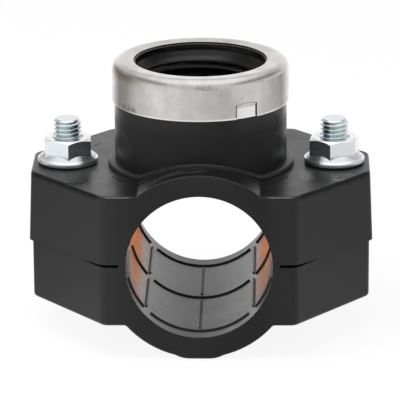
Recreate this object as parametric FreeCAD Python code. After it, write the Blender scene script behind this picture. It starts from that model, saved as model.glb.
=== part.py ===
import FreeCAD, Part
import math
import os

# Tapping saddle for a 40 mm plastic pipe, with a 1 inch female outlet. Millimetres.
# Origin on the pipe's axis at mid length, +Y along the pipe, +Z up through the outlet.

# The pipe and the bore that grips it
pipe_radius = 20.0
rib_height = 0.45
rib_width = 0.7
rib_row_spacing = 28.6
rib_end_gap = 2.3
axial_rib_angle = 47.0
centre_rib_half_angle = 42.0
side_rib_start_angle = 49.5
side_rib_end_angle = 76.5

# The two half shells round the pipe
saddle_length = 69.2
upper_wall = 6.0
lower_wall = 6.25
mouth_break = 0.2
foot_width = 9.5
foot_drop = 0.2
foot_side_angle = 28.0
foot_rounding = 8.0

# The bolting flanges, octagonal in plan
flange_half_width = 47.7
front_flat_half_width = 26.8
upper_end_flat_half_length = 10.0
lower_end_flat_half_length = 8.6
upper_flange_height = 20.35
lower_flange_height = 17.1
upper_overhang = 0.9
end_draft = 0.8
side_draft = 0.5
corner_radius = 3.0
upper_edge_radius = 0.8
lower_edge_radius = 1.0
crease_radius = 1.2

# The faint disc that a pin of the mould leaves on the left flange
pin_mark_x = -34.9
pin_mark_y = -17.8
pin_mark_radius = 3.9
pin_mark_height = 0.12

# The narrow gap left between the halves beside the bore
gap_height = 0.8
gap_lip = 1.9
gap_full_width = 4.0
gap_taper_width = 8.5

# Pockets that core out the thick flanges
core_wall = 3.2
core_roof = 4.0
core_width = 6.8
core_rib = 2.2

# The outlet boss and its female thread
boss_radius = 24.35
boss_top = 50.2
thread_major_radius = 16.65
thread_depth = 20.0
mouth_radius = 18.3
mouth_depth = 1.9
lead_in_depth = 4.2
passage_radius = 13.5

# The round bead and the shallow step where the boss grows out of the saddle
bead_width = 2.05
bead_height_on_arch = 1.15
bead_height_on_flange = 1.7
bead_crease_radius = 3.0
bead_rounding = 1.0
collar_width = 4.25
collar_height = 0.18
collar_half_width = 24.7

# The pressed steel reinforcing ring
ring_sheet = 0.6
ring_skirt_height = 11.5
ring_hole_radius = 18.85
ring_shoulder_radius = 2.6
ring_crest_width = 0.3
ring_dish = 0.25
ring_flare = 0.12
ring_flare_height = 0.5
tab_width = 6.6
tab_height = 4.45
tab_arch_rise = 0.55
tab_fold_height = 3.2
tab_slit = 0.25
tab_press = 0.35
tab_angle = 32.3
tab_count = 2

# The rubber seal round the passage
seal_land = 1.3
seal_width = 3.6
seal_thickness = 2.6
seal_side_clearance = 0.1
seal_set_back = 0.05

# The two hex bolts and flange nuts, 8 mm thread
bolt_edge_distance = 9.9
bolt_radius = 3.95
bolt_length = 45.0
bolt_end_chamfer = 0.7
hex_across_flats = 13.0
head_height = 5.3
head_recess = 0.1
hex_chamfer_angle = 30.0
hex_face_share = 0.95
hole_clearance = 0.45
socket_clearance = 0.2
nut_running_clearance = 0.05
nut_height = 7.6
nut_bearing_radius = 7.9
nut_flange_radius = 8.6
nut_flange_lift = 0.35
nut_flange_rim = 1.5
nut_flange_rise = 1.7
nut_rim_rounding = 0.45
nut_mouth_chamfer = 0.5
left_nut_turn = 4.0
right_nut_turn = -9.5

# Sizes that follow from the ones above
bore_radius = pipe_radius + rib_height
upper_radius = bore_radius + upper_wall
lower_radius = bore_radius + lower_wall
half_length = saddle_length / 2
bolt_centre = flange_half_width - bolt_edge_distance
bead_radius = boss_radius + bead_width
collar_radius = boss_radius + collar_width
ring_radius = boss_radius + ring_sheet
ring_top = boss_top + ring_sheet
skirt_bottom = ring_top - ring_skirt_height
tab_top = skirt_bottom + tab_height
thread_bottom = boss_top - thread_depth
seal_inner = passage_radius + seal_land
seal_outer = seal_inner + seal_width
seal_face_radius = pipe_radius + seal_set_back
groove_radius = seal_face_radius + seal_thickness + seal_side_clearance
head_seat = head_height + head_recess - lower_flange_height
bolt_end = head_seat + bolt_length
hex_radius = hex_across_flats / math.sqrt(3)
bolt_hole_radius = bolt_radius + hole_clearance
reach = 2 * (flange_half_width + saddle_length)
bite = 0.5

UP = FreeCAD.Vector(0, 0, 1)
ALONG = FreeCAD.Vector(0, 1, 0)
ORIGIN = FreeCAD.Vector(0, 0, 0)


def point(x, y, z):
    return FreeCAD.Vector(x, y, z)


def upright_cylinder(radius, low, high, x=0.0):
    return Part.makeCylinder(radius, high - low, point(x, 0, low), UP)


def along_cylinder(radius):
    """A cylinder on the pipe's axis that passes both ends of the saddle."""
    return Part.makeCylinder(radius, 2 * saddle_length, point(0, -saddle_length, 0), ALONG)


def block(x0, x1, y0, y1, z0, z1):
    return Part.makeBox(x1 - x0, y1 - y0, z1 - z0, point(x0, y0, z0))


def prism(points, direction):
    wire = Part.makePolygon(points + points[:1])
    return Part.Face(wire).extrude(direction)


def turned(points):
    """A solid of revolution about Z from (radius, height) points."""
    wire = Part.makePolygon([point(r, 0, z) for r, z in points + points[:1]])
    return Part.Face(wire).revolve(ORIGIN, UP, 360)


def rounded(shape, radius, wanted):
    """Fillet the edges for which wanted(middle, tangent) is true."""
    edges = []
    for edge in shape.Edges:
        middle = (edge.FirstParameter + edge.LastParameter) / 2
        if wanted(edge.valueAt(middle), edge.tangentAt(middle)):
            edges.append(edge)
    return shape.makeFillet(radius, edges)


def saddle_profile(shell_radius, flange, crease):
    """Section across the pipe: an arch on a flat flange, with a round crease where they meet."""
    crease_x = math.sqrt((shell_radius + crease) ** 2 - (flange + crease) ** 2)
    centre = point(crease_x, 0, flange + crease)
    on_flange = point(crease_x, 0, flange)
    on_arch = centre * (shell_radius / (shell_radius + crease))
    bisector = (on_flange - centre) + (on_arch - centre)
    on_crease = centre + bisector.normalize() * crease
    top = point(0, 0, shell_radius)

    def mirrored(p):
        return point(-p.x, p.y, p.z)

    side = point(reach, 0, flange)
    foot = point(reach, 0, 0)
    edges = [
        Part.LineSegment(mirrored(foot), foot).toShape(),
        Part.LineSegment(foot, side).toShape(),
        Part.LineSegment(side, on_flange).toShape(),
        Part.Arc(on_flange, on_crease, on_arch).toShape(),
        Part.Arc(on_arch, top, mirrored(on_arch)).toShape(),
        Part.Arc(mirrored(on_arch), mirrored(on_crease), mirrored(on_flange)).toShape(),
        Part.LineSegment(mirrored(on_flange), mirrored(side)).toShape(),
        Part.LineSegment(mirrored(side), mirrored(foot)).toShape(),
    ]
    return Part.Face(Part.Wire(edges))


def saddle_form(shell_radius, flange, crease=crease_radius):
    """The arch and flange as one solid above the split plane, endless in plan."""
    face = saddle_profile(shell_radius, flange, crease)
    face.translate(point(0, -reach / 2, 0))
    return face.extrude(ALONG * reach)


def octagon(half_width, front, end_flat, z):
    """Plan outline out to half_width and front, its slants aimed at an end flat at the flange's width."""
    slant = (half_length - end_flat) / (flange_half_width - front_flat_half_width)
    end = front - (half_width - front_flat_half_width) * slant
    quarter = [(front_flat_half_width, front), (half_width, end)]
    ring = quarter + [(x, -y) for x, y in reversed(quarter)]
    ring += [(-x, -y) for x, y in quarter] + [(-x, y) for x, y in reversed(quarter)]
    points = [point(x, y, z) for x, y in ring]
    return Part.makePolygon(points + points[:1])


def flange_outline(half_width, end_flat, height, end_lean=0.0, side_lean=0.0):
    """The octagonal block that bounds one half, its faces leaning in by so much at the top flange."""
    share = height / upper_flange_height
    base = octagon(half_width, half_length, end_flat, 0)
    far = octagon(half_width - end_lean * share, half_length - side_lean * share, end_flat, height)
    return rounded(Part.makeLoft([base, far], True, True), corner_radius, lambda m, t: abs(t.z) > 0.9)


def soft_edges(shape, radius):
    """Round a half's outer edges, leaving out the split plane, the corners and lines along the pipe."""

    def wanted(middle, tangent):
        on_split = abs(middle.z) < 0.01
        upright = abs(tangent.z) > 0.9
        along_pipe = abs(abs(tangent.y) - 1) < 0.001 and abs(middle.x) < front_flat_half_width
        return not (on_split or upright or along_pipe)

    return rounded(shape, radius, wanted)


def arc_rib(y, start, end):
    """A rib across the bore from start to end, in degrees from straight down."""
    crest = point(0, y - rib_width / 2, -pipe_radius)
    root = point(0, y - rib_width / 2, -(bore_radius + bite))
    step = point(0, rib_width, 0)
    face = Part.Face(Part.makePolygon([crest, root, root + step, crest + step, crest]))
    face.rotate(ORIGIN, ALONG, -start)
    return face.revolve(ORIGIN, ALONG, start - end)


def straight_rib(y0, y1, angle):
    """A rib along the pipe at an angle from straight down, its crest on the pipe's surface."""
    half_turn = math.degrees(rib_width / 2 / pipe_radius)
    low = point(0, y0, -pipe_radius)
    deep = point(0, y0, -(bore_radius + bite))
    step = point(0, y1 - y0, 0)
    face = Part.Face(Part.makePolygon([low, deep, deep + step, low + step, low]))
    face.rotate(ORIGIN, ALONG, half_turn - angle)
    return face.revolve(ORIGIN, ALONG, -2 * half_turn)


def arc_row(y):
    """One row of arc ribs: a centre length and one each side of it."""
    return [
        arc_rib(y, -centre_rib_half_angle, centre_rib_half_angle),
        arc_rib(y, side_rib_start_angle, side_rib_end_angle),
        arc_rib(y, -side_rib_end_angle, -side_rib_start_angle),
    ]


def lower_ribs():
    ribs = []
    for row in (-1, 0, 1):
        ribs += arc_row(row * rib_row_spacing)
    inner = rib_end_gap + rib_width / 2
    outer = rib_row_spacing - rib_end_gap
    for angle in (-axial_rib_angle, 0, axial_rib_angle):
        ribs.append(straight_rib(inner, outer, angle))
        ribs.append(straight_rib(-outer, -inner, angle))
    return ribs


def upper_ribs():
    """The rows at the two ends, clear of the seal."""
    ribs = []
    for row in (-1, 1):
        for rib in arc_row(row * rib_row_spacing):
            rib.rotate(ORIGIN, ALONG, 180)
            ribs.append(rib)
    return ribs


def split_gap():
    """The wedge missing from the upper half beside the bore, both sides."""
    inner = bore_radius + gap_lip
    full = inner + gap_full_width
    outer = full + gap_taper_width
    wedges = []
    for side in (-1, 1):
        corners = [
            point(side * inner, -saddle_length, 0),
            point(side * inner, -saddle_length, gap_height),
            point(side * full, -saddle_length, gap_height),
            point(side * outer, -saddle_length, 0),
        ]
        wedges.append(prism(corners, ALONG * (2 * saddle_length)))
    return wedges


def core_outlines():
    """Plan outlines of the two pockets in one quarter of the flange."""
    run = flange_half_width - front_flat_half_width
    fall = half_length - upper_end_flat_half_length
    length = math.hypot(run, fall)
    wall_x = front_flat_half_width - core_wall * fall / length
    wall_y = half_length - core_wall * run / length

    def wall_at(y):
        return min(wall_x + (wall_y - y) * run / fall, flange_half_width - core_wall)

    def wall_from(x):
        return wall_y - (x - wall_x) * fall / run

    inner_x = lower_radius + core_wall / 2
    first = hex_radius + socket_clearance + core_wall
    second = first + core_width + core_rib
    last = wall_from(inner_x + core_width / 3)
    outlines = []
    for near, far in ((first, first + core_width), (second, max(last, second + core_width / 3))):
        outlines.append([(inner_x, near), (wall_at(near), near), (wall_at(far), far), (inner_x, far)])
    return outlines


def core_pockets(low, high):
    pockets = []
    for outline in core_outlines():
        for side in (-1, 1):
            for end in (-1, 1):
                corners = [point(side * x, end * y, low) for x, y in outline]
                pockets.append(prism(corners, UP * (high - low)))
    return pockets


def hexagon(across_flats, low, high, x=0.0, turn=0.0):
    """A hexagonal prism about an upright axis, one corner towards -Y when turn is 0."""
    radius = across_flats / math.sqrt(3)
    corners = []
    for k in range(6):
        a = math.radians(turn - 90 + 60 * k)
        corners.append(point(x + radius * math.cos(a), radius * math.sin(a), low))
    return prism(corners, UP * (high - low))


def seal_tube(inner, outer, deep_radius):
    """A ring round the passage, bounded by two cylinders about the pipe's axis."""
    tube = upright_cylinder(outer, 0, upper_radius).cut(upright_cylinder(inner, 0, upper_radius))
    return tube.common(along_cylinder(deep_radius)).cut(along_cylinder(seal_face_radius))


def tab_sector(inner, outer, width):
    """A block of the ring's skirt up to the top of a tab, width wide, facing -Y."""
    tube = upright_cylinder(outer, skirt_bottom, tab_top)
    tube = tube.cut(upright_cylinder(inner, skirt_bottom, tab_top))
    return tube.common(block(-width / 2, width / 2, -2 * outer, 0, skirt_bottom, tab_top))


def tab_arch():
    """A cylinder facing -Y whose top is the arched top of a tab."""
    radius = ((tab_width / 2) ** 2 + tab_arch_rise**2) / (2 * tab_arch_rise)
    start = point(0, -2 * ring_radius, tab_top - radius)
    return Part.makeCylinder(radius, 2 * ring_radius, start, ALONG)


def bent_tab():
    """A tab of the skirt's sheet, pressed in at its foot and sloping out to the skirt above the fold."""
    pressed_in = boss_radius - tab_press
    pressed_out = ring_radius - tab_press
    fold = skirt_bottom + tab_fold_height
    sheet = turned(
        [
            (pressed_in, skirt_bottom),
            (pressed_out, skirt_bottom),
            (pressed_out, fold),
            (ring_radius, tab_top),
            (boss_radius, tab_top),
            (pressed_in, fold),
        ]
    )
    return sheet.common(tab_sector(boss_radius - bite, ring_radius + bite, tab_width - 2 * tab_slit))


def capped_form(radius, low, high, shoulder):
    """A round block with a rounded shoulder, its top sinking from a narrow crest to the ring's hole."""
    crest = radius - shoulder - ring_crest_width
    sunk = high - ring_dish
    side = [(0, low), (radius, low), (radius, high)]
    form = turned(side + [(crest, high), (ring_hole_radius, sunk), (0, sunk)])

    def wanted(middle, tangent):
        return middle.z > high - 0.01 and math.hypot(middle.x, middle.y) > radius - 0.01

    return rounded(form, shoulder, wanted)


def tab_turns():
    return [tab_angle + 360 * k / tab_count for k in range(tab_count)]


def boss_form():
    """The boss before its holes, its top edge rounded to fit inside the ring."""
    boss = capped_form(boss_radius, 0, boss_top, ring_shoulder_radius - ring_sheet)
    for turn in tab_turns():
        notch = tab_sector(boss_radius - tab_press, 2 * boss_radius, tab_width)
        notch.rotate(ORIGIN, UP, turn)
        boss = boss.cut(notch)
    return boss


def bead_form():
    """The round bead that follows the line where the boss meets arch and flange."""
    arch = upper_radius + bead_height_on_arch
    plug = saddle_form(arch, upper_flange_height + bead_height_on_flange, bead_crease_radius)
    plug = plug.common(upright_cylinder(bead_radius, 0, 2 * upper_radius))

    def wanted(middle, tangent):
        return middle.z > upper_flange_height and abs(tangent.z) < 0.999

    return rounded(plug, bead_rounding, wanted)


def collar_form():
    """The shallow step outside the bead."""
    high = 2 * upper_radius
    plug = saddle_form(upper_radius + collar_height, upper_flange_height + collar_height)
    plug = plug.common(upright_cylinder(collar_radius, 0, high))
    return plug.common(block(-collar_half_width, collar_half_width, -reach, reach, 0, high))


def pin_mark():
    base = upper_flange_height - bite
    place = point(pin_mark_x, pin_mark_y, base)
    return Part.makeCylinder(pin_mark_radius, bite + pin_mark_height, place, UP)


def outlet_holes():
    """The recessed mouth, the cone that leads into the thread and the passage down to the pipe."""
    mouth = turned(
        [
            (0, thread_bottom),
            (thread_major_radius, thread_bottom),
            (thread_major_radius, boss_top - lead_in_depth),
            (mouth_radius, boss_top - mouth_depth),
            (mouth_radius, boss_top + bite),
            (0, boss_top + bite),
        ]
    )
    return [mouth, upright_cylinder(passage_radius, 0, thread_bottom + bite)]


def bolt_holes(low, high):
    return [upright_cylinder(bolt_hole_radius, low, high, side * bolt_centre) for side in (-1, 1)]


def pipe_bore():
    """The bore with its mouths broken at both ends."""
    bore = [along_cylinder(bore_radius)]
    for end in (-1, 1):
        start = point(0, half_length - mouth_break, 0)
        mouth = Part.makeCone(bore_radius, bore_radius + mouth_break, mouth_break, start, ALONG)
        if end < 0:
            mouth.rotate(ORIGIN, UP, 180)
        bore.append(mouth)
    return bore


def foot_form():
    """The flat pad that the saddle stands on, its sides sloping up into the round shell."""
    low = lower_radius + foot_drop
    top = bore_radius + bite
    spread = (low - top) / math.tan(math.radians(foot_side_angle))
    half = foot_width / 2
    corners = [(-half - spread, top), (-half, low), (half, low), (half + spread, top)]
    points = [point(x, -half_length, z) for x, z in corners]
    pad = prism(points, ALONG * saddle_length)

    def wanted(middle, tangent):
        return middle.z > low - 0.01 and abs(tangent.y) > 0.99

    return rounded(pad, foot_rounding, wanted)


def upper_saddle():
    tall = upper_radius + bite
    body = saddle_form(upper_radius, upper_flange_height)
    width = flange_half_width + upper_overhang
    outline = flange_outline(width, upper_end_flat_half_length, tall, end_draft, side_draft)
    body = body.common(outline)
    body = soft_edges(body, upper_edge_radius)
    body = body.fuse([collar_form(), bead_form(), boss_form(), pin_mark()])
    groove = seal_tube(seal_inner - seal_side_clearance, seal_outer + seal_side_clearance, groove_radius)
    body = body.cut(pipe_bore())
    body = body.cut([groove] + outlet_holes() + bolt_holes(-bite, upper_radius) + split_gap())
    body = body.cut(core_pockets(-bite, upper_flange_height - core_roof))
    return body.fuse(upper_ribs()).removeSplitter()


def lower_saddle():
    body = saddle_form(lower_radius, lower_flange_height)
    tall = lower_radius + bite
    body = body.common(flange_outline(flange_half_width, lower_end_flat_half_length, tall))
    body = soft_edges(body.fuse(foot_form()).removeSplitter(), lower_edge_radius)
    body.rotate(ORIGIN, ALONG, 180)
    body = body.cut(pipe_bore())
    socket_size = hex_across_flats + 2 * socket_clearance
    sockets = [
        hexagon(socket_size, -lower_flange_height - bite, head_seat, side * bolt_centre)
        for side in (-1, 1)
    ]
    body = body.cut(sockets + bolt_holes(-lower_radius, bite))
    body = body.cut(core_pockets(-lower_flange_height - bite, -core_roof))
    return body.fuse(lower_ribs()).removeSplitter()


def reinforcing_ring():
    """A pressed sheet ring: flat top, round shoulder and flared skirt, with locking tabs."""
    outside = capped_form(ring_radius, skirt_bottom, ring_top, ring_shoulder_radius)
    foot = point(0, 0, skirt_bottom)
    flare = Part.makeCone(ring_radius + ring_flare, ring_radius, ring_flare_height, foot, UP)
    outside = outside.fuse(flare)
    inside = capped_form(boss_radius, skirt_bottom - bite, boss_top, ring_shoulder_radius - ring_sheet)
    ring = outside.cut([inside, upright_cylinder(ring_hole_radius, boss_top - bite, ring_top + bite)])
    for turn in tab_turns():
        window = tab_sector(boss_radius - bite, ring_radius + bite, tab_width).common(tab_arch())
        tab = bent_tab().common(tab_arch())
        window.rotate(ORIGIN, UP, turn)
        tab.rotate(ORIGIN, UP, turn)
        ring = ring.cut(window).fuse(tab)
    return ring.removeSplitter()


def branch_seal():
    return seal_tube(seal_inner, seal_outer, seal_face_radius + seal_thickness)


def hex_trim(low, high):
    """A turned blank that takes the corners off a hexagon at its top."""
    flat = hex_across_flats / 2 * hex_face_share
    drop = (hex_radius - flat) * math.tan(math.radians(hex_chamfer_angle))
    return turned([(0, low), (hex_radius, low), (hex_radius, high - drop), (flat, high), (0, high)])


def hex_bolt(x):
    head_foot = head_seat - head_height
    head = hexagon(hex_across_flats, head_foot, head_seat)
    trim = hex_trim(-head_seat, -head_foot)
    trim.rotate(ORIGIN, ALONG, 180)
    head = head.common(trim)
    shank = turned(
        [
            (0, head_seat - bite),
            (bolt_radius, head_seat - bite),
            (bolt_radius, bolt_end - bolt_end_chamfer),
            (bolt_radius - bolt_end_chamfer, bolt_end),
            (0, bolt_end),
        ]
    )
    bolt = head.fuse(shank).removeSplitter()
    bolt.translate(point(x, 0, 0))
    return bolt


def on_rim(middle, tangent):
    return math.hypot(middle.x, middle.y) > nut_flange_radius - 0.01 and abs(tangent.z) < 0.01


def flange_nut(x, turn):
    seat = upper_flange_height
    top = seat + nut_height
    body = hexagon(hex_across_flats, seat, top, 0, turn).common(hex_trim(seat, top))
    rim = seat + nut_flange_rim
    flange = turned(
        [
            (0, seat),
            (nut_bearing_radius, seat),
            (nut_flange_radius, seat + nut_flange_lift),
            (nut_flange_radius, rim),
            (hex_across_flats / 2, rim + nut_flange_rise),
            (0, rim + nut_flange_rise),
        ]
    )
    flange = rounded(flange, nut_rim_rounding, on_rim)
    hole_radius = bolt_radius + nut_running_clearance
    mouth = hole_radius + nut_mouth_chamfer
    hole = turned(
        [
            (0, seat),
            (mouth, seat),
            (hole_radius, seat + nut_mouth_chamfer),
            (hole_radius, top - nut_mouth_chamfer),
            (mouth, top),
            (0, top),
        ]
    )
    nut = body.fuse(flange).cut(hole).removeSplitter()
    nut.translate(point(x, 0, 0))
    return nut


parts = {
    "upper_saddle": upper_saddle(),
    "lower_saddle": lower_saddle(),
    "reinforcing_ring": reinforcing_ring(),
    "branch_seal": branch_seal(),
    "left_bolt": hex_bolt(-bolt_centre),
    "right_bolt": hex_bolt(bolt_centre),
    "left_nut": flange_nut(-bolt_centre, left_nut_turn),
    "right_nut": flange_nut(bolt_centre, right_nut_turn),
}

os.makedirs("parts", exist_ok=True)
for name, shape in parts.items():
    shape.exportStep("parts/" + name + ".step")
    print(name, shape.isValid(), len(shape.Solids), len(shape.Faces), round(shape.Volume, 1))
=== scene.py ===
import math

import bpy
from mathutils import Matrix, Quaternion, Vector


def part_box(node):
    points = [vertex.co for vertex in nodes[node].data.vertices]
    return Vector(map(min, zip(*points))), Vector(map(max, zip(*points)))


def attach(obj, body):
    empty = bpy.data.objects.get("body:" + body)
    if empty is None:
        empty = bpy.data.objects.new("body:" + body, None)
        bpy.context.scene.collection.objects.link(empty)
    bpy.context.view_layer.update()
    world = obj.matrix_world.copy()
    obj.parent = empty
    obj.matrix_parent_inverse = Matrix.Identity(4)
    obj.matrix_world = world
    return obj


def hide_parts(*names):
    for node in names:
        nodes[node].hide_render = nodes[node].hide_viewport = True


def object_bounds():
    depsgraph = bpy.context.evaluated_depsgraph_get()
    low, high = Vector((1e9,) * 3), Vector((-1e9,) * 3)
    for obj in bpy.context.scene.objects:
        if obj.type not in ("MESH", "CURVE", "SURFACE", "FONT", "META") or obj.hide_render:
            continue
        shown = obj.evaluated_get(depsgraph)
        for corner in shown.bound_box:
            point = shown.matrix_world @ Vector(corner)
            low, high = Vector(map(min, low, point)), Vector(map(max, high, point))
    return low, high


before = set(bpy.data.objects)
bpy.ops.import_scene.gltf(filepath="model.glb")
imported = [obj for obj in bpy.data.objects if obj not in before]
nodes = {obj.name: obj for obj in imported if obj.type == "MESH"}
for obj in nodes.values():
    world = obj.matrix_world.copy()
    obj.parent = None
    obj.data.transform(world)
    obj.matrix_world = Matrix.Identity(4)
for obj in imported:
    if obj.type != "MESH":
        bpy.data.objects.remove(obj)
cad_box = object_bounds()

MM = 0.001
DEGREE = math.pi / 180
FULL_TURN = 2 * math.pi

# The camera stands where the photograph was taken from
CAMERA_AZIMUTH = 1.29
CAMERA_ELEVATION = 17.39
CAMERA_ROLL = 0.39
CAMERA_DISTANCE = 1000.0 * MM
CAMERA_AIM = Vector((-0.365 * MM, 0.0, 8.90 * MM))
CAMERA_LENS = 315.6
CAMERA_SENSOR = 36.0
CAMERA_CLIP = (0.01, 50.0)

LAMP_PLACE = (-0.25, -0.25, 0.9)
LAMP_SIDE = 0.7
LAMP_POWER = 9.0

# The room, as gloss shows it: compass angle from the camera's side and brightness
WALL_TONES = [
    (0, 0.76), (30, 0.76), (60, 0.90), (88, 0.70), (105, 0.80), (132, 0.80), (150, 0.90),
    (163, 1.10), (180, 1.10), (197, 1.14), (206, 0.80), (216, 0.30), (252, 0.26), (268, 0.62),
    (300, 0.90), (330, 0.80), (360, 0.76),
]
FLOOR_TONES = [
    (0, 0.86), (30, 0.65), (60, 0.93), (78, 0.90), (104, 0.66), (118, 0.58), (127, 0.34),
    (134, 0.66), (143, 0.92), (149, 1.05), (157, 1.20), (203, 1.20), (211, 0.98), (217, 0.80),
    (226, 0.60), (232, 0.30), (250, 0.40), (282, 0.86), (304, 1.04), (330, 0.98), (360, 0.86),
]
ROOM_DARK_TINT = (1.0, 0.92, 0.84)
ROOM_MIDDLE_TONE = 0.80
ROOM_SIDE_TONE = 0.40
ROOM_TOP_TONE = 1.27
ROOM_AMBIENT = 0.55

# Where one tone of the room passes into the next: a unit direction's height, or its share
# that points sideways
MIDDLE_RISE = (0.25, 0.45)
SIDE_RISE = (0.30, 0.45)
SIDE_REACH = (0.58, 0.70)
TOP_RISE = (0.66, 0.92)
TOP_REACH = (0.50, 0.66)

FLOOR_SIZE = 8.0
FLOOR_DROP = 0.02 * MM
FLOOR_GREY = (0.86, 0.86, 0.86)
FLOOR_SHADOW_SHARE = 0.09

# The orange thing on the floor behind the object, which only the bore's wall shows
ORANGE = (1.30, 0.42, 0.12)
ORANGE_LEFT = -30.0 * MM
ORANGE_RIGHT = 20.0 * MM
ORANGE_NEAR = 78.0 * MM
ORANGE_FAR = 150.0 * MM
ORANGE_SOFTNESS = 14.0 * MM
DISC_GAP = 0.3 * MM
DISC_HALF_ANGLE = 86.0
DISC_STEPS = 48

# The fitting's own sizes, read from the frame where it has them
bore_wall = 20.45 * MM
rib_crest = 20.0 * MM
rib_row_spacing = 28.6 * MM
boss_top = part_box("upper_saddle")[1].z
boss_radius = 24.35 * MM
ring_radius = 24.95 * MM
ring_hole_radius = 18.85 * MM
skirt_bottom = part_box("reinforcing_ring")[0].z
tab_angle = 32.3
tab_width = 6.6 * MM
tab_top = skirt_bottom + 4.45 * MM
tab_fold = skirt_bottom + 3.2 * MM
flange_top = 20.35 * MM
front_flat_half_width = 26.8 * MM
mouth_radius = 18.3 * MM
recess_depth = 1.9 * MM
thread_root = 16.64 * MM
thread_crest = 15.15 * MM
thread_pitch = 2.309 * MM
thread_start_depth = 4.2 * MM
first_crest_depth = 6.3 * MM
thread_end_depth = 19.9 * MM
thread_start_turn = 0.25
thread_back = thread_root * 1.0005
lead_in_slope = 0.717

bolt_radius = 3.95 * MM
bolt_pitch = 1.25 * MM
bolt_thread_depth = 0.72 * MM
bolt_thread_length = 26.0 * MM
bolt_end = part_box("left_bolt")[1].z
bolt_end_chamfer = 0.7 * MM
bolt_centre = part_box("right_bolt")[0].x / 2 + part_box("right_bolt")[1].x / 2
bolt_turn = 30.0
head_height = 5.3 * MM
hex_flats = 13.0 * MM
head_foot_radius = hex_flats / 2 * 0.95
head_chamfer = 0.55 * MM
head_chamfer_knee = head_chamfer * 0.35
head_corner_cut = head_chamfer * 1.1
under_head_width = 0.25 * MM
under_head_height = 0.3 * MM
nut_flange_radius = 8.6 * MM
nut_cone_top = flange_top + 3.2 * MM

# How finely the threads are meshed: points round, and rows for each turn
OUTLET_SIDES, OUTLET_ROWS = 160, 18
BOLT_SIDES, BOLT_ROWS = 96, 14
SMOOTH_ANGLE = 38.0
THREAD_SMOOTH_ANGLE = 30.0

# A thread's profile across one turn: where its flank ends and how wide that is, in half turns,
# and how much of the flank is rounded
FLANK_END = 0.86
FLANK_WIDTH = 0.72
FLANK_ROUNDING = 0.35

BLACK = (0.0, 0.0, 0.0)
PALE = (0.30, 0.30, 0.30)
WHITE = (1.0, 1.0, 1.0)


class Graph:
    """One tree of shader nodes. Each call adds a node and returns what comes out of it."""

    def __init__(self, tree):
        self.tree = tree

    def node(self, kind, inputs=(), **settings):
        """Add a node, set its properties, and give its inputs a value or a link."""
        node = self.tree.nodes.new(kind)
        for name, value in settings.items():
            setattr(node, name, value)
        for socket, value in dict(inputs).items():
            self.feed(node.inputs[socket], value)
        return node

    def feed(self, socket, value):
        """Link or set one input. Colours are given without their alpha."""
        if isinstance(value, bpy.types.NodeSocket):
            self.tree.links.new(value, socket)
        elif socket.type == "RGBA":
            socket.default_value = (*value, 1.0)
        else:
            socket.default_value = value

    def maths(self, operation, first, second=0.0):
        return self.node("ShaderNodeMath", {0: first, 1: second}, operation=operation).outputs[0]

    def product(self, *factors):
        total = factors[0]
        for factor in factors[1:]:
            total = self.maths("MULTIPLY", total, factor)
        return total

    def size(self, value):
        return self.maths("ABSOLUTE", value)

    def length(self, first, second):
        squares = [self.maths("MULTIPLY", side, side) for side in (first, second)]
        return self.maths("SQRT", self.maths("ADD", *squares))

    def spread(self, value, low, high, to_low, to_high):
        """Map value from one range to another, held at both ends."""
        inputs = {
            "Value": value, "From Min": low, "From Max": high, "To Min": to_low, "To Max": to_high,
        }
        return self.node("ShaderNodeMapRange", inputs).outputs["Result"]

    def rising(self, value, low, high, share=1.0):
        return self.spread(value, low, high, 0.0, share)

    def falling(self, value, low, high, share=1.0):
        return self.spread(value, low, high, share, 0.0)

    def band(self, value, low, high, soft):
        """1 between low and high, falling to 0 over soft on each side."""
        return self.product(
            self.rising(value, low - soft, low), self.falling(value, high, high + soft)
        )

    def noise(self, vector, scale, detail=3.0, roughness=0.5):
        inputs = {"Vector": vector, "Scale": scale, "Detail": detail, "Roughness": roughness}
        return self.node("ShaderNodeTexNoise", inputs).outputs["Fac"]

    def place(self):
        """The place on the object, in its own coordinates."""
        return self.node("ShaderNodeTexCoord").outputs["Object"]

    def split(self, vector):
        return self.node("ShaderNodeSeparateXYZ", {0: vector}).outputs

    def stretched(self, vector, scale):
        node = self.node("ShaderNodeVectorMath", {0: vector, 1: scale}, operation="MULTIPLY")
        return node.outputs[0]

    def angle(self, x, y):
        """The compass angle of a place in radians, from the camera's side towards +X."""
        return self.maths("ARCTAN2", x, self.maths("MULTIPLY", y, -1.0))

    def mixed(self, factor, first, second):
        """Blend of two colours."""
        node = self.node("ShaderNodeMix", {"Factor": factor}, data_type="RGBA")
        for name, value in (("A", first), ("B", second)):
            self.feed([s for s in node.inputs if s.name == name and s.type == "RGBA"][0], value)
        return [s for s in node.outputs if s.type == "RGBA"][0]

    def bump(self, height, distance, normal=None):
        inputs = {"Height": height, "Distance": distance}
        if normal is not None:
            inputs["Normal"] = normal
        return self.node("ShaderNodeBump", inputs).outputs[0]

    def ramp(self, factor, stops):
        """A colour ramp from (place, colour) stops."""
        node = self.node("ShaderNodeValToRGB", {0: factor})
        elements = node.color_ramp.elements
        while len(elements) < len(stops):
            elements.new(0.5)
        for element, (place, colour) in zip(elements, stops):
            element.position = place
            element.color = (*colour, 1.0)
        return node.outputs[0]

    def emission(self, colour):
        return self.node("ShaderNodeEmission", {"Color": colour, "Strength": 1.0}).outputs[0]

    def background(self, colour, strength):
        inputs = {"Color": colour, "Strength": strength}
        return self.node("ShaderNodeBackground", inputs).outputs[0]

    def either(self, share, first, second):
        """The first shader, giving way to the second as share goes from 0 to 1."""
        return self.node("ShaderNodeMixShader", {0: share, 1: first, 2: second}).outputs[0]


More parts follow.
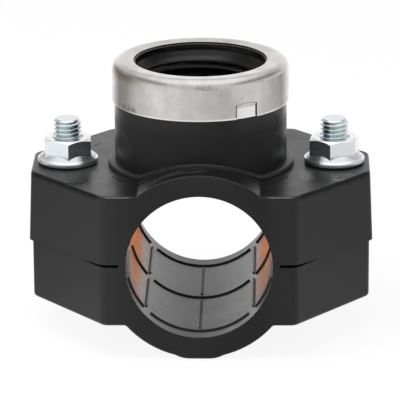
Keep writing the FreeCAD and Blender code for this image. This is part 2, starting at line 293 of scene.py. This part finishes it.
class Skin:
    """A Principled material, with marks laid on its colour, roughness and gloss one by one."""

    def __init__(self, name, **constants):
        self.material = bpy.data.materials.new(name)
        self.material.use_nodes = True
        self.graph = Graph(self.material.node_tree)
        self.shader = self.material.node_tree.nodes["Principled BSDF"]
        for socket, value in constants.items():
            self.shader.inputs[socket.replace("_", " ")].default_value = value
        self.place = self.graph.place()
        self.x, self.y, self.z = self.graph.split(self.place)
        self.colour = self.rough = None
        self.gloss = 0.5

    def tint(self, mask, share, colour):
        self.colour = self.graph.mixed(self.graph.product(mask, share), self.colour, colour)

    def polish(self, mask, share):
        """Bring the roughness down to this share of itself where the mask is 1."""
        self.rough = self.graph.product(self.rough, self.graph.spread(mask, 0.0, 1.0, 1.0, share))

    def roughen(self, mask, share):
        self.rough = self.graph.maths("ADD", self.rough, self.graph.product(mask, share))

    def dull(self, mask, share):
        self.gloss = self.graph.maths("SUBTRACT", self.gloss, self.graph.product(mask, share))

    def finish(self, normal):
        """Link everything to the shader and return the material."""
        outputs = {
            "Base Color": self.colour,
            "Roughness": self.rough,
            "Specular IOR Level": self.gloss,
            "Normal": normal,
        }
        for socket, value in outputs.items():
            self.graph.feed(self.shader.inputs[socket], value)
        return self.material


def lay_bore_marks(skin):
    """The bore is smoother than the outside, and its ribs are tinted paler, the straight ones
    rougher.
    """
    graph = skin.graph
    from_axis = graph.length(skin.x, skin.z)
    inside = graph.falling(from_axis, bore_wall + 0.1 * MM, bore_wall + 0.4 * MM)
    on_rib = graph.falling(from_axis, rib_crest + 0.2 * MM, rib_crest + 0.4 * MM)
    # The curved ribs stand in rows across the bore, the straight ones run between the rows
    from_row = graph.maths("PINGPONG", skin.y, rib_row_spacing / 2)
    row_edge = (0.9 * MM, 1.2 * MM)
    straight = graph.product(on_rib, graph.spread(from_row, *row_edge, 0.35, 1.0))
    curved = graph.product(inside, graph.falling(from_row, *row_edge))
    flank = graph.band(from_axis, rib_crest + 0.06 * MM, bore_wall - 0.10 * MM, 0.04 * MM)
    skin.tint(on_rib, 0.09, PALE)
    skin.tint(curved, 0.05, PALE)
    skin.tint(straight, 0.12, PALE)
    skin.tint(flank, graph.rising(from_row, *row_edge, 0.4), PALE)

    scuffs = graph.noise(skin.place, 260.0, 5.0, 0.7)
    skin.polish(inside, 0.62)
    skin.roughen(straight, graph.spread(graph.size(skin.x), 4.0 * MM, 8.0 * MM, 0.35, 0.10))
    skin.roughen(inside, graph.spread(scuffs, 0.4, 0.7, -0.03, 0.05))


def lay_flange_marks(skin):
    """Painted highlight and painted shade along the flanges' top edges, and the scuffs, scar and a
    painted highlight on their tops.
    """
    graph = skin.graph
    x, y, z = skin.x, skin.y, skin.z
    x_size, y_size = graph.size(x), graph.size(y)
    # Painted highlight along the front flats' top edges
    front_edge_highlight = graph.product(
        graph.band(x_size, 19.8 * MM, front_flat_half_width - 1.5 * MM, 1.2 * MM),
        graph.rising(y_size, 30.0 * MM, 30.5 * MM),
        graph.band(z, flange_top - 0.36 * MM, flange_top - 0.12 * MM, 0.06 * MM),
    )
    skin.tint(front_edge_highlight, 0.17, (0.42, 0.42, 0.42))
    # Painted shade along the slanted faces' top edges
    slant_edge_shade = graph.product(
        graph.rising(x_size, front_flat_half_width + 0.5 * MM, front_flat_half_width + 2.0 * MM),
        graph.rising(y_size, 9.0 * MM, 11.0 * MM),
        graph.rising(z, flange_top - 1.9 * MM, flange_top - 0.9 * MM),
        graph.falling(z, flange_top - 0.10 * MM, flange_top - 0.03 * MM),
    )
    skin.tint(slant_edge_shade, 0.6, BLACK)
    skin.dull(slant_edge_shade, 0.24)

    on_top = graph.band(z, flange_top - 0.05 * MM, flange_top + 0.05 * MM, 0.05 * MM)
    long_scuffs = graph.noise(graph.stretched(skin.place, (0.7, 1.0, 1.0)), 900.0, 4.0, 0.7)
    scuffed = graph.product(
        graph.rising(long_scuffs, 0.50, 0.62),
        graph.band(x, 38.0 * MM, 43.0 * MM, 1.5 * MM),
        graph.band(y, -18.5 * MM, -12.0 * MM, 1.5 * MM),
        on_top,
    )
    skin.tint(scuffed, 0.5, (0.30, 0.30, 0.31))
    nicked = graph.product(
        graph.rising(graph.noise(skin.place, 2400.0, 3.0, 0.7), 0.52, 0.60),
        graph.band(x, 29.2 * MM, 31.0 * MM, 2.0 * MM),
        graph.band(y, -16.0 * MM, -9.5 * MM, 3.0 * MM),
        on_top,
    )
    skin.tint(nicked, 0.5, (0.40, 0.40, 0.40))
    # Painted highlight on the left flange's top, beside the nut
    skin.tint(graph.product(graph.band(x, -32.0 * MM, -27.0 * MM, 2.5 * MM), on_top), 0.07, PALE)
    scar_slope = 1.75
    across_scar = graph.maths("SUBTRACT", y, graph.maths("MULTIPLY", x, scar_slope))
    scar = graph.product(
        graph.band(across_scar, 69.7 * MM, 70.6 * MM, 0.2 * MM),
        graph.band(x, -31.0 * MM, -29.4 * MM, 0.2 * MM),
        on_top,
    )
    skin.tint(scar, 0.9, BLACK)
    skin.dull(scar, 0.4)


def lay_boss_marks(skin):
    """The boss is smooth above and dull towards its foot. The arch before it has a painted sheen
    in pale streaks.
    """
    graph = skin.graph
    from_outlet = graph.length(skin.x, skin.y)
    on_boss = graph.product(
        graph.rising(skin.z, flange_top + 3.0 * MM, flange_top + 6.0 * MM),
        graph.rising(from_outlet, boss_radius - 5.0 * MM, boss_radius - 4.8 * MM),
    )
    on_low_boss = graph.product(
        graph.falling(skin.z, flange_top + 14.0 * MM, flange_top + 18.0 * MM),
        graph.falling(from_outlet, boss_radius + 0.2 * MM, boss_radius + 0.5 * MM),
        on_boss,
    )
    skin.polish(on_boss, 0.5)
    skin.roughen(on_low_boss, 0.14)
    skin.dull(on_low_boss, 0.38)
    skin.tint(on_boss, 0.012, PALE)
    skin.tint(on_low_boss, 0.034, PALE)

    # Painted sheen in pale streaks on the arch before the boss
    streaks = graph.noise(graph.stretched(skin.place, (0.3, 1.0, 0.3)), 900.0, 3.0, 0.6)
    arch_sheen = graph.product(
        graph.rising(streaks, 0.40, 0.66),
        graph.band(skin.x, -11.0 * MM, -1.0 * MM, 5.0 * MM),
        graph.band(skin.y, -30.4 * MM, -28.0 * MM, 0.8 * MM),
        graph.rising(graph.length(skin.x, skin.z), bore_wall + 2.0 * MM, bore_wall + 2.5 * MM),
        graph.rising(skin.z, 18.0 * MM, 20.0 * MM),
    )
    skin.tint(arch_sheen, 0.13, PALE)


def lay_outlet_marks(skin):
    """The outlet's inside has painted shade and is dull. Its cone has a painted highlight on its
    edge, and its recess fine rings.
    """
    graph = skin.graph
    from_outlet = graph.length(skin.x, skin.y)
    thread_top = boss_top - thread_start_depth
    # Painted highlight on the back of the cone's lower edge
    cone_edge_highlight = graph.product(
        graph.falling(from_outlet, mouth_radius - 0.3 * MM, mouth_radius - 0.1 * MM),
        graph.band(skin.z, boss_top - 4.1 * MM, boss_top - 3.5 * MM, 0.4 * MM),
        graph.rising(skin.y, 5.0 * MM, 10.0 * MM),
        graph.band(skin.x, -11.0 * MM, 4.0 * MM, 5.0 * MM),
    )
    skin.tint(cone_edge_highlight, 0.08, PALE)
    # Painted shade in the thread and on the mouth's sides
    in_thread = graph.band(skin.z, boss_top - 22.0 * MM, thread_top - 0.3 * MM, 0.3 * MM)
    in_mouth = graph.product(
        graph.rising(skin.z, thread_top, thread_top + 0.3 * MM),
        graph.rising(graph.size(skin.x), 8.0 * MM, 13.0 * MM, 0.8),
    )
    dark = graph.product(
        graph.falling(from_outlet, mouth_radius + 0.2 * MM, mouth_radius + 0.4 * MM),
        graph.maths("MAXIMUM", in_thread, in_mouth),
    )
    skin.tint(dark, 0.7, BLACK)
    skin.dull(dark, 0.2)
    recess = graph.product(
        graph.band(from_outlet, mouth_radius - 0.1 * MM, mouth_radius + 0.1 * MM, 0.05 * MM),
        graph.rising(skin.z, boss_top - recess_depth - 0.1 * MM, boss_top - recess_depth),
    )
    skin.dull(recess, 0.14)
    rings = graph.noise(graph.stretched(skin.place, (0.05, 0.05, 1.0)), 2300.0, 1.0)
    skin.tint(recess, graph.rising(rings, 0.46, 0.62, 0.15), (0.11, 0.095, 0.08))


def black_plastic():
    """Glossy black moulded plastic: fine grain and slow waves, with the marks of mould and use,
    and painted highlights and shade.
    """
    skin = Skin("black_plastic", IOR=1.37)
    graph = skin.graph
    cloud = graph.noise(skin.place, 90.0, 4.0)
    skin.colour = graph.mixed(cloud, (0.0034, 0.0035, 0.0037), (0.0088, 0.0088, 0.0090))
    # Painted sheen: the flanges, away from the bore, are paler, the left one more
    flange_sheen = graph.rising(graph.size(skin.x), 17.0 * MM, 25.0 * MM)
    skin.tint(flange_sheen, graph.spread(skin.x, -10.0 * MM, 10.0 * MM, 0.027, 0.018), PALE)
    specks = graph.rising(graph.noise(skin.place, 1500.0, 1.0), 0.75, 0.80)
    patches = graph.rising(graph.noise(skin.place, 70.0, 2.0), 0.56, 0.66)
    skin.tint(specks, patches, (0.16, 0.16, 0.165))
    skin.rough = graph.spread(cloud, 0.3, 0.7, 0.30, 0.40)
    lay_bore_marks(skin)
    lay_flange_marks(skin)
    lay_boss_marks(skin)
    lay_outlet_marks(skin)
    waves = graph.bump(graph.noise(skin.place, 55.0, 1.0), 0.12 * MM)
    return skin.finish(graph.bump(graph.noise(skin.place, 2600.0, 2.0), 0.006 * MM, waves))


def lay_ring_stains_and_reflections(skin, angle):
    """Warm stains on the ring's shoulder, scattered ones, and a painted warm reflection at each
    side.
    """
    graph = skin.graph
    on_shoulder = graph.rising(skin.z, boss_top - 3.2 * MM, boss_top - 1.2 * MM)
    stained = graph.rising(graph.noise(skin.place, 75.0, 3.0), 0.55, 0.68, 0.35)
    skin.tint(stained, on_shoulder, (0.40, 0.32, 0.25))
    # Painted warm reflections, one at each side of the shoulder
    left = graph.product(
        graph.band(angle, -78 * DEGREE, -52 * DEGREE, 14 * DEGREE),
        graph.band(skin.z, boss_top - 2.1 * MM, boss_top - 1.1 * MM, 0.8 * MM),
        0.45,
    )
    right = graph.product(
        graph.band(angle, 54 * DEGREE, 64 * DEGREE, 9 * DEGREE),
        graph.band(skin.z, boss_top - 0.5 * MM, boss_top + 0.2 * MM, 0.4 * MM),
        0.40,
    )
    skin.tint(graph.maths("MAXIMUM", left, right), 1.0, (0.30, 0.22, 0.15))


def lay_ring_wear(skin, angle):
    """Scratches at the front of the ring's shoulder, a smudge on its skirt, and pits."""
    graph = skin.graph
    lines = graph.noise(graph.stretched(skin.place, (0.25, 0.25, 1.0)), 5200.0, 2.0)
    scratched = graph.product(
        graph.rising(lines, 0.50, 0.57),
        graph.band(angle, -1 * DEGREE, 9 * DEGREE, 6 * DEGREE),
        graph.band(skin.z, boss_top - 1.8 * MM, boss_top - 1.2 * MM, 0.5 * MM),
    )
    skin.tint(scratched, 0.60, (0.12, 0.12, 0.12))
    smudged = graph.product(
        graph.rising(graph.noise(skin.place, 420.0, 4.0, 0.7), 0.42, 0.60),
        graph.band(angle, -57 * DEGREE, -47 * DEGREE, 4 * DEGREE),
        graph.falling(skin.z, skirt_bottom + 0.9 * MM, skirt_bottom + 2.4 * MM),
    )
    skin.tint(smudged, 0.75, (0.12, 0.11, 0.10))
    pitted = graph.product(
        graph.falling(graph.noise(skin.place, 1900.0, 2.0), 0.28, 0.33),
        graph.spread(graph.noise(skin.place, 130.0, 1.0), 0.42, 0.58, 0.15, 1.0),
        graph.band(angle, -35 * DEGREE, 50 * DEGREE, 12 * DEGREE),
    )
    skin.tint(pitted, 0.8, (0.14, 0.13, 0.12))


def lay_tab_marks(skin, angle):
    """The front tab's paler face, and painted shade in the slits and along the fold line round it.
    """
    graph = skin.graph
    half = tab_width / 2
    from_middle = graph.maths("SUBTRACT", angle, tab_angle * DEGREE)
    across = graph.maths("MULTIPLY", from_middle, ring_radius)
    side = graph.size(across)
    slits = graph.product(
        graph.band(side, half - 0.22 * MM, half - 0.02 * MM, 0.08 * MM),
        graph.falling(skin.z, tab_top - 0.9 * MM, tab_top - 0.5 * MM),
    )
    left_slit = graph.product(
        graph.band(across, -half - 0.26 * MM, -half - 0.02 * MM, 0.08 * MM),
        graph.falling(skin.z, tab_top - 0.6 * MM, tab_top - 0.3 * MM, 0.8),
    )
    arch_bend = 0.05 / MM
    arch = graph.maths("ADD", skin.z, graph.product(across, across, arch_bend))
    fold_line = graph.product(
        graph.band(arch, tab_top - 0.12 * MM, tab_top + 0.06 * MM, 0.10 * MM),
        graph.falling(side, half, half + 0.1 * MM),
        0.55,
    )
    face = graph.product(
        graph.falling(side, half - 0.4 * MM, half - 0.2 * MM),
        graph.falling(skin.z, tab_fold - 0.3 * MM, tab_fold),
    )
    # Painted shade in the slits and along the fold line
    slit_and_fold_shade = graph.maths("MAXIMUM", graph.maths("MAXIMUM", slits, left_slit), fold_line)
    skin.tint(face, 0.75, (0.93, 0.93, 0.92))
    skin.tint(slit_and_fold_shade, 0.85, (0.06, 0.055, 0.05))


def lay_ring_edges(skin):
    """Painted highlights on the skirt's lower rim and on the front half of the hole's lip."""
    graph = skin.graph
    from_outlet = graph.length(skin.x, skin.y)
    rim = graph.falling(skin.z, skirt_bottom + 0.3 * MM, skirt_bottom + 0.5 * MM)
    lip = graph.product(
        graph.falling(from_outlet, ring_hole_radius + 0.2 * MM, ring_hole_radius + 0.45 * MM),
        graph.falling(skin.y, -10.0 * MM, -4.0 * MM),
    )
    # Painted highlights on the rim and the front of the lip
    skin.tint(graph.maths("MAXIMUM", rim, lip), 0.9, (0.97, 0.96, 0.95))


def pressed_steel():
    """Pressed stainless sheet: mottled and finely brushed round the ring, with its marks and
    painted highlights, reflections and shade.
    """
    skin = Skin("pressed_steel", Metallic=1.0, Anisotropic=0.35)
    graph = skin.graph
    angle = graph.angle(skin.x, skin.y)
    lines = graph.noise(graph.stretched(skin.place, (0.06, 0.06, 1.0)), 2400.0, 3.0, 0.6)
    cloud = graph.noise(skin.place, 110.0, 5.0, 0.6)
    mottle = graph.noise(graph.stretched(skin.place, (1.0, 1.0, 0.6)), 300.0, 4.0, 0.5)
    skin.colour = graph.mixed(
        graph.rising(mottle, 0.30, 0.70), (0.565, 0.55, 0.54), (0.68, 0.67, 0.66)
    )
    lay_ring_stains_and_reflections(skin, angle)
    lay_ring_wear(skin, angle)
    lay_tab_marks(skin, angle)
    lay_ring_edges(skin)
    skin.rough = graph.spread(lines, 0.3, 0.7, 0.15, 0.25)
    skin.roughen(graph.rising(cloud, 0.4, 0.8), 0.10)
    tangent = graph.node("ShaderNodeTangent", direction_type="RADIAL", axis="Z").outputs[0]
    graph.feed(skin.shader.inputs["Tangent"], tangent)
    return skin.finish(graph.bump(lines, 0.004 * MM, graph.bump(cloud, 0.08 * MM)))


def zinc_steel(name, lay_marks):
    """Bright zinc plating with a faint blue bloom, and the marks that lay_marks adds."""
    skin = Skin(name, Metallic=0.95)
    graph = skin.graph
    bloom = graph.noise(skin.place, 220.0, 3.0)
    skin.colour = graph.mixed(bloom, (0.77, 0.82, 0.875), (0.89, 0.90, 0.905))
    lay_marks(skin)
    skin.rough = graph.spread(graph.noise(skin.place, 900.0, 3.0), 0.3, 0.7, 0.17, 0.27)
    return skin.finish(graph.bump(bloom, 0.02 * MM))


def lay_bolt_marks(skin):
    """The thread is darker and greener between its crests, a green tint with painted shade, and
    the bolt's end a little darker.
    """
    graph = skin.graph
    from_axis = graph.length(skin.x, skin.y)
    groove_tint_and_shade = graph.product(
        graph.falling(from_axis, bolt_radius - bolt_thread_depth, bolt_radius - 0.25 * MM),
        graph.falling(skin.z, bolt_end - 0.8 * MM, bolt_end - 0.6 * MM),
    )
    # A green tint with painted shade between the thread's crests
    skin.tint(groove_tint_and_shade, 0.8, (0.40, 0.60, 0.61))
    skin.tint(graph.rising(skin.z, bolt_end - 0.1 * MM, bolt_end - 0.05 * MM), 0.12, BLACK)


def lay_nut_marks(skin):
    """The flange's cone and the underside of its rim are darker than the hex: painted shade."""
    graph = skin.graph
    aside = graph.maths("SUBTRACT", graph.size(skin.x), bolt_centre)
    # Painted shade on the flange's cone and under its rim
    cone_shade = graph.product(
        graph.band(
            graph.length(aside, skin.y), hex_flats / 2, nut_flange_radius - 0.7 * MM, 0.25 * MM
        ),
        graph.falling(skin.z, nut_cone_top, nut_cone_top + 0.4 * MM),
    )
    skin.tint(cone_shade, 0.44, (0.36, 0.39, 0.43))
    rim_underside_shade = graph.falling(skin.z, flange_top + 0.6 * MM, flange_top + 1.1 * MM)
    skin.tint(rim_underside_shade, 0.55, (0.22, 0.24, 0.25))


def seal_rubber():
    """Dull black rubber with a dusty bloom."""
    skin = Skin("seal_rubber", IOR=1.48)
    graph = skin.graph
    dust = graph.noise(skin.place, 300.0, 4.0)
    skin.colour = graph.mixed(dust, (0.010, 0.010, 0.010), (0.028, 0.028, 0.029))
    skin.rough = graph.spread(dust, 0.3, 0.7, 0.55, 0.75)
    return skin.finish(graph.bump(dust, 0.02 * MM))


def make_object(name, vertices, faces, smooth_angle=SMOOTH_ANGLE):
    mesh = bpy.data.meshes.new(name)
    mesh.from_pydata(vertices, [], faces)
    mesh.validate()
    obj = bpy.data.objects.new(name, mesh)
    bpy.context.scene.collection.objects.link(obj)
    mesh.shade_smooth()
    mesh.set_sharp_from_angle(angle=math.radians(smooth_angle))
    return obj


def dress(obj, material):
    obj.data.materials.clear()
    obj.data.materials.append(material)


def ring_of_points(height, radius_at, sides):
    points = []
    for k in range(sides):
        angle = FULL_TURN * k / sides
        radius = radius_at(angle)
        points.append((radius * math.cos(angle), radius * math.sin(angle), height))
    return points


def lathe(name, rows, sides):
    """A closed mesh from rings, each given by its height and its radius at every angle."""
    vertices = []
    for height, radius_at in rows:
        vertices += ring_of_points(height, radius_at, sides)
    foot, top = len(vertices), len(vertices) + 1
    vertices += [(0, 0, rows[0][0]), (0, 0, rows[-1][0])]
    faces = []
    for row in range(len(rows) - 1):
        low, high = row * sides, (row + 1) * sides
        for k in range(sides):
            nearby = (k + 1) % sides
            faces.append((low + k, low + nearby, high + nearby, high + k))
    last = (len(rows) - 1) * sides
    for k in range(sides):
        nearby = (k + 1) % sides
        faces.append((foot, nearby, k))
        faces.append((top, last + k, last + nearby))
    return make_object(name, vertices, faces)


def held(share):
    """The share, kept between 0 and 1."""
    return min(1.0, max(0.0, share))


def thread_shape(turn):
    """Depth share, from 0 at a crest to 1 at a root, at a place given in turns."""
    flank = held((FLANK_END - abs((turn % 1.0) * 2 - 1)) / FLANK_WIDTH)
    rounded = flank * flank * (3 - 2 * flank)
    return rounded * FLANK_ROUNDING + flank * (1 - FLANK_ROUNDING)


def outlet_thread():
    """The parallel pipe thread in the outlet, its first crests cut back by the mouth's cone."""
    length = thread_end_depth - thread_start_depth
    rows = round(length / thread_pitch * OUTLET_ROWS)

    def inner_radius(angle, depth):
        turn = (depth - first_crest_depth) / thread_pitch + angle / FULL_TURN - thread_start_turn
        cut = thread_crest + (thread_root - thread_crest) * thread_shape(turn)
        cone = thread_root - (depth - thread_start_depth) * lead_in_slope
        return min(thread_root, max(cut, cone))

    vertices = []
    for i in range(rows + 1):
        depth = thread_start_depth + length * i / rows
        vertices += ring_of_points(
            boss_top - depth, lambda angle: inner_radius(angle, depth), OUTLET_SIDES
        )
    for depth in (thread_end_depth, thread_start_depth):
        vertices += ring_of_points(
            boss_top - depth, lambda angle: thread_back, OUTLET_SIDES
        )
    faces = []
    rings = rows + 3
    for row in range(rings):
        high, low = row * OUTLET_SIDES, (row + 1) % rings * OUTLET_SIDES
        for k in range(OUTLET_SIDES):
            nearby = (k + 1) % OUTLET_SIDES
            faces.append((low + k, high + k, high + nearby, low + nearby))
    piece = make_object("outlet_thread", vertices, faces, THREAD_SMOOTH_ANGLE)
    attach(piece, "upper")
    return piece


def hex_radius(angle):
    """Radius of a hexagon whose corner lies at angle 0."""
    sector = FULL_TURN / 6
    return hex_flats / 2 / math.cos((angle + sector / 2) % sector - sector / 2)


def threaded_bolt(name, node):
    """A hex bolt with a cut thread, standing where its plain solid is."""
    low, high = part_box(node)
    centre = (low + high) / 2
    seat = low.z + head_height
    thread_start = high.z - bolt_thread_length
    cut_corner = hex_radius(0) - head_corner_cut

    def cut(height):
        """The bolt's radius at each angle at this height, where the thread is cut."""
        def radius_at(angle):
            turn = (height - thread_start) / bolt_pitch - angle / FULL_TURN
            plain = bolt_radius - bolt_thread_depth * held(turn + 1) * thread_shape(turn)
            return min(plain, bolt_radius - bolt_end_chamfer + (high.z - height))
        return radius_at

    rows = [
        (low.z, lambda angle: head_foot_radius),
        (low.z + head_chamfer_knee, lambda angle: min(hex_radius(angle), cut_corner)),
        (low.z + head_chamfer, hex_radius),
        (seat, hex_radius),
        (seat, lambda angle: bolt_radius + under_head_width),
        (seat + under_head_height, lambda angle: bolt_radius),
        (thread_start - bolt_pitch, lambda angle: bolt_radius),
    ]
    # The thread fades in over one more turn below its full depth
    cut_length = bolt_thread_length + bolt_pitch
    steps = round(cut_length / bolt_pitch * BOLT_ROWS)
    for i in range(steps + 1):
        height = thread_start - bolt_pitch + cut_length * i / steps
        rows.append((height, cut(height)))
    bolt = lathe(name, rows, BOLT_SIDES)
    bolt.rotation_euler.z = math.radians(bolt_turn)
    bolt.location = (centre.x, centre.y, 0)
    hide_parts(node)
    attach(bolt, "lower")
    return bolt


def bare_graph(owner):
    """The emptied node tree of a material or of the world."""
    owner.use_nodes = True
    owner.node_tree.nodes.clear()
    return Graph(owner.node_tree)


def room_tone(graph, vector, tones):
    """The room's brightness in the direction of vector, for reflections alone."""
    x, y, _ = graph.split(vector)
    turn = graph.maths("FRACT", graph.maths("DIVIDE", graph.angle(x, y), FULL_TURN))
    stops = []
    for degrees, tone in tones:
        plain = min(1.0, tone)
        colour = [tone * (tint + (1 - tint) * plain) for tint in ROOM_DARK_TINT]
        stops.append((degrees / 360, colour))
    return graph.ramp(turn, stops)


def room():
    """White behind the object, an even grey for plain light, and uneven tones for gloss."""
    world = bpy.data.worlds.new("room")
    bpy.context.scene.world = world
    graph = bare_graph(world)
    direction = graph.node("ShaderNodeTexCoord").outputs["Generated"]
    x, _, height = graph.split(direction)
    sideways = graph.size(x)
    tone = room_tone(graph, direction, WALL_TONES)
    middle = graph.rising(height, *MIDDLE_RISE)
    tone = graph.mixed(middle, tone, (ROOM_MIDDLE_TONE,) * 3)
    side = graph.product(graph.rising(sideways, *SIDE_REACH), graph.rising(height, *SIDE_RISE))
    tone = graph.mixed(side, tone, (ROOM_SIDE_TONE,) * 3)
    top = graph.product(graph.falling(sideways, *TOP_REACH), graph.rising(height, *TOP_RISE))
    tone = graph.mixed(top, tone, (ROOM_TOP_TONE,) * 3)
    ray = graph.node("ShaderNodeLightPath").outputs
    plain = graph.background(WHITE, ROOM_AMBIENT)
    lit = graph.either(ray["Is Glossy Ray"], plain, graph.background(tone, 1.0))
    shown = graph.either(ray["Is Camera Ray"], lit, graph.background(WHITE, 1.0))
    graph.node("ShaderNodeOutputWorld", {"Surface": shown})


def orange_share(graph, place, ray):
    """1 on the orange patch of the floor for rays that came through the clear disc, else 0."""
    x, y, _ = graph.split(place)
    return graph.product(
        graph.band(x, ORANGE_LEFT, ORANGE_RIGHT, ORANGE_SOFTNESS),
        graph.rising(y, ORANGE_NEAR - ORANGE_SOFTNESS, ORANGE_NEAR),
        graph.falling(y, ORANGE_FAR, ORANGE_FAR + 2 * ORANGE_SOFTNESS),
        graph.maths("GREATER_THAN", ray["Transparent Depth"], 0.5),
    )


def floor():
    """A pale floor at the foot of the object, white to the camera apart from the shadow."""
    half = FLOOR_SIZE / 2
    z = cad_box[0].z - FLOOR_DROP
    corners = [(-half, -half, z), (half, -half, z), (half, half, z), (-half, half, z)]
    plane = make_object("floor", corners, [(0, 1, 2, 3)])
    material = bpy.data.materials.new("floor")
    graph = bare_graph(material)
    place = graph.node("ShaderNodeNewGeometry").outputs["Position"]
    ray = graph.node("ShaderNodeLightPath").outputs
    tone = graph.mixed(
        orange_share(graph, place, ray), room_tone(graph, place, FLOOR_TONES), ORANGE
    )
    matt = graph.node("ShaderNodeBsdfDiffuse", {"Color": FLOOR_GREY}).outputs[0]
    seen = graph.either(FLOOR_SHADOW_SHARE, graph.emission(WHITE), matt)
    lit = graph.either(ray["Is Camera Ray"], matt, seen)
    shown = graph.either(ray["Is Glossy Ray"], lit, graph.emission(tone))
    graph.node("ShaderNodeOutputMaterial", {"Surface": shown})
    dress(plane, material)


def clear_disc():
    """A clear half disc over the bore's rear mouth. It marks the rays that leave low down."""
    y = cad_box[1].y + DISC_GAP
    vertices = []
    for k in range(DISC_STEPS + 1):
        angle = math.radians(DISC_HALF_ANGLE) * (2 * k / DISC_STEPS - 1)
        vertices.append((rib_crest * math.sin(angle), y, -rib_crest * math.cos(angle)))
    disc = make_object("clear_disc", vertices, [tuple(range(DISC_STEPS + 1))])
    material = bpy.data.materials.new("clear_disc")
    graph = bare_graph(material)
    clear = graph.node("ShaderNodeBsdfTransparent", {"Color": WHITE}).outputs[0]
    graph.node("ShaderNodeOutputMaterial", {"Surface": clear})
    dress(disc, material)
    disc.visible_camera = False
    disc.visible_diffuse = False
    disc.visible_shadow = False
    disc.visible_transmission = False


def lamp():
    """A soft square lamp above the object's front left. Gloss doesn't show it."""
    data = bpy.data.lights.new("overhead", "AREA")
    data.shape = "RECTANGLE"
    data.size = data.size_y = LAMP_SIDE
    data.energy = LAMP_POWER
    obj = bpy.data.objects.new("overhead", data)
    bpy.context.scene.collection.objects.link(obj)
    obj.location = LAMP_PLACE
    obj.rotation_mode = "QUATERNION"
    obj.rotation_quaternion = (-Vector(LAMP_PLACE)).to_track_quat("-Z", "Y")
    obj.visible_glossy = False


def camera():
    data = bpy.data.cameras.new("camera")
    data.lens = CAMERA_LENS
    data.sensor_width = CAMERA_SENSOR
    data.clip_start, data.clip_end = CAMERA_CLIP
    obj = bpy.data.objects.new("camera", data)
    bpy.context.scene.collection.objects.link(obj)
    azimuth, elevation = math.radians(CAMERA_AZIMUTH), math.radians(CAMERA_ELEVATION)
    flat = math.cos(elevation)
    back = Vector((math.sin(azimuth) * flat, -math.cos(azimuth) * flat, math.sin(elevation)))
    obj.location = CAMERA_AIM + back * CAMERA_DISTANCE
    obj.rotation_mode = "QUATERNION"
    roll = Quaternion(back, math.radians(-CAMERA_ROLL))
    obj.rotation_quaternion = roll @ (-back).to_track_quat("-Z", "Y")
    bpy.context.scene.camera = obj


plastic = black_plastic()
nut_zinc = zinc_steel("zinc_steel", lay_nut_marks)
bolt_zinc = zinc_steel("zinc_thread", lay_bolt_marks)
for name in ("upper_saddle", "lower_saddle"):
    dress(nodes[name], plastic)
for name in ("left_nut", "right_nut"):
    dress(nodes[name], nut_zinc)
dress(nodes["reinforcing_ring"], pressed_steel())
dress(nodes["branch_seal"], seal_rubber())
dress(outlet_thread(), plastic)
dress(threaded_bolt("left_threaded_bolt", "left_bolt"), bolt_zinc)
dress(threaded_bolt("right_threaded_bolt", "right_bolt"), bolt_zinc)

room()
floor()
clear_disc()
lamp()
camera()
bpy.context.scene.view_settings.view_transform = "Standard"
